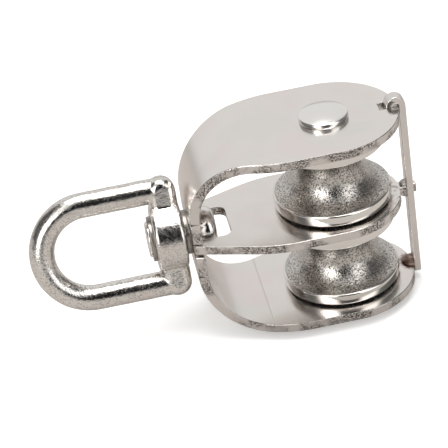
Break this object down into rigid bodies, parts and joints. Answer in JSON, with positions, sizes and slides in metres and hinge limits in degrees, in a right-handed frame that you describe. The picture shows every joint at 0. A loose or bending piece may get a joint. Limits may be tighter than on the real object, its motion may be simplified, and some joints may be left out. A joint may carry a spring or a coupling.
{
  "type": "swivel pulley block",
  "caption": "Polished stainless pulley block: sheaves between a bent strap and a centre plate on a riveted axle, with a swivelling cast eye.",
  "frame": {"origin": "on the axle's axis, in the middle plane of the centre plate", "axes": "+Z along the axle, -X along the swivel axis towards the eye, +X towards the open end with the tie strip, +Y completes the frame"},
  "size_m": [0.0831, 0.03, 0.0453],
  "materials": {
    "strap_steel": "satin polished sheet with ground edges",
    "plate_steel": "satin polished sheet with ground edges",
    "rivet_steel": "bright polished",
    "sheave_steel": "polished rims, fine cast grain in the groove",
    "eye_steel": "polished casting",
    "pin_steel": "bright polished",
    "washer_steel": "satin",
    "bush_bronze": "turned",
    "strip_steel": "satin polished sheet",
    "weld_tint": "weld bead with heat tint"
  },
  "bodies": {
    "block": {"outer_shell": "strap_steel", "centre_plate": "plate_steel", "axle_rivet": "rivet_steel", "upper_bush": "bush_bronze", "lower_bush": "bush_bronze", "upper_outer_washer": "washer_steel", "upper_inner_washer": "washer_steel", "lower_inner_washer": "washer_steel", "lower_outer_washer": "washer_steel", "tie_strip": "strip_steel", "tie_strip_centre_weld": "weld_tint", "tie_strip_lower_weld": "weld_tint", "swivel_washer": "washer_steel"},
    "upper_wheel": {"upper_sheave": "sheave_steel"},
    "lower_wheel": {"lower_sheave": "sheave_steel"},
    "eye": {"swivel_eye": "eye_steel", "swivel_pin": "pin_steel", "pin_end_washer": "pin_steel"}
  },
  "joints": [
    {"name": "eye_swivel", "type": "hinge", "parent": "block", "child": "eye", "pos_m": [-0.0318, 0, 0], "axis": [-1, 0, 0], "continuous": true},
    {"name": "upper_sheave_turn", "type": "hinge", "parent": "block", "child": "upper_wheel", "pos_m": [0, 0, 0.0098], "axis": [0, 0, 1], "continuous": true},
    {"name": "lower_sheave_turn", "type": "hinge", "parent": "block", "child": "lower_wheel", "pos_m": [0, 0, -0.0098], "axis": [0, 0, 1], "continuous": true}
  ]
}
